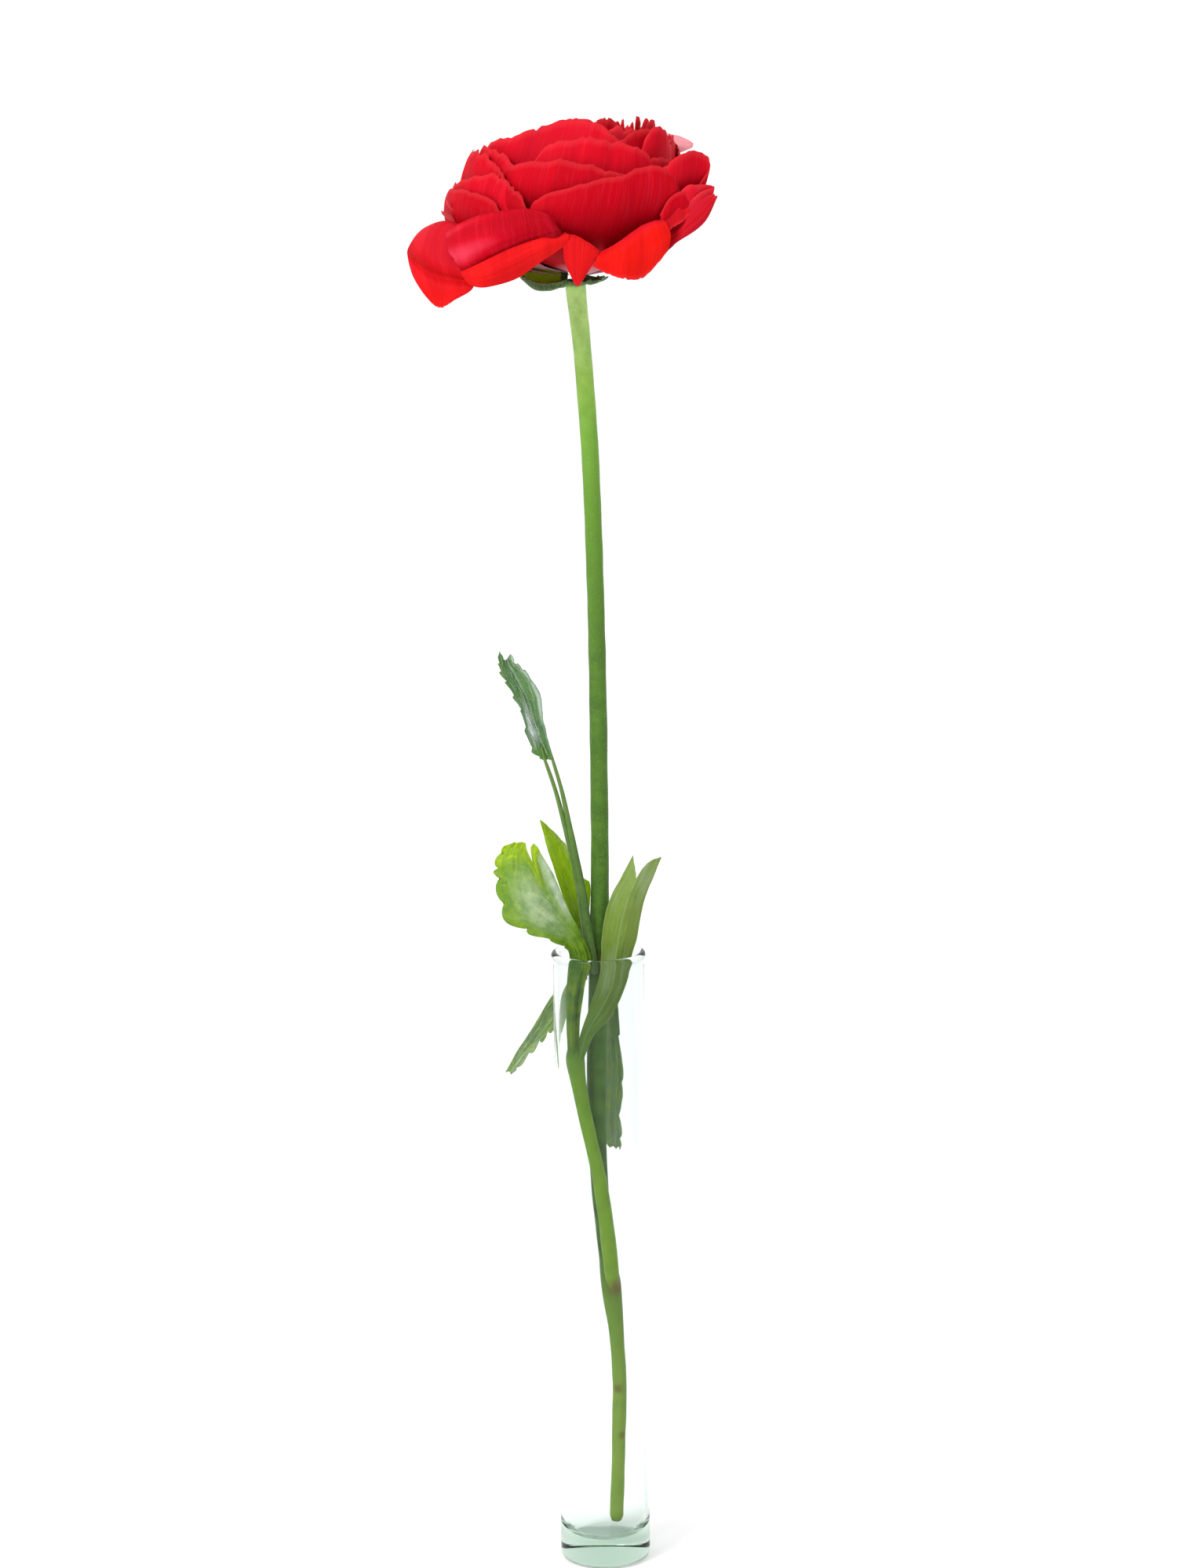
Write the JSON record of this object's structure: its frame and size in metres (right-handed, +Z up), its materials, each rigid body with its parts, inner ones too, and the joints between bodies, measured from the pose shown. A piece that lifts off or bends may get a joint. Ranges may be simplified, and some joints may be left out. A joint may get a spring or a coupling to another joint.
{
  "type": "ranunculus flower in a glass tube vase",
  "caption": "Cut double ranunculus on a long forked stalk with leaves, standing in a slim clear glass tube vase.",
  "frame": {"origin": "middle of the vase's flat foot, on the surface that it stands on", "axes": "+Z up along the vase, -Y towards the bloom's best side, +X to that side's right"},
  "size_m": [0.0944, 0.089, 0.4606],
  "materials": {
    "glass": "gloss",
    "stem_green": "satin",
    "sepal_green": "matte",
    "petal_red": "satin",
    "leaf_olive": "satin",
    "leaf_lime": "satin",
    "leaf_dark": "satin"
  },
  "bodies": {
    "root": {"vase": "glass", "stem": "stem_green", "calyx": "sepal_green", "bloom": "petal_red", "leaf_right_folded": "leaf_olive", "leaf_left_lobed": "leaf_lime", "leaf_back_yellow": "leaf_lime", "leaf_outer_hanging": "leaf_dark", "leaf_inside_hanging": "leaf_olive", "leaf_upper_dark": "leaf_dark"}
  },
  "joints": []
}
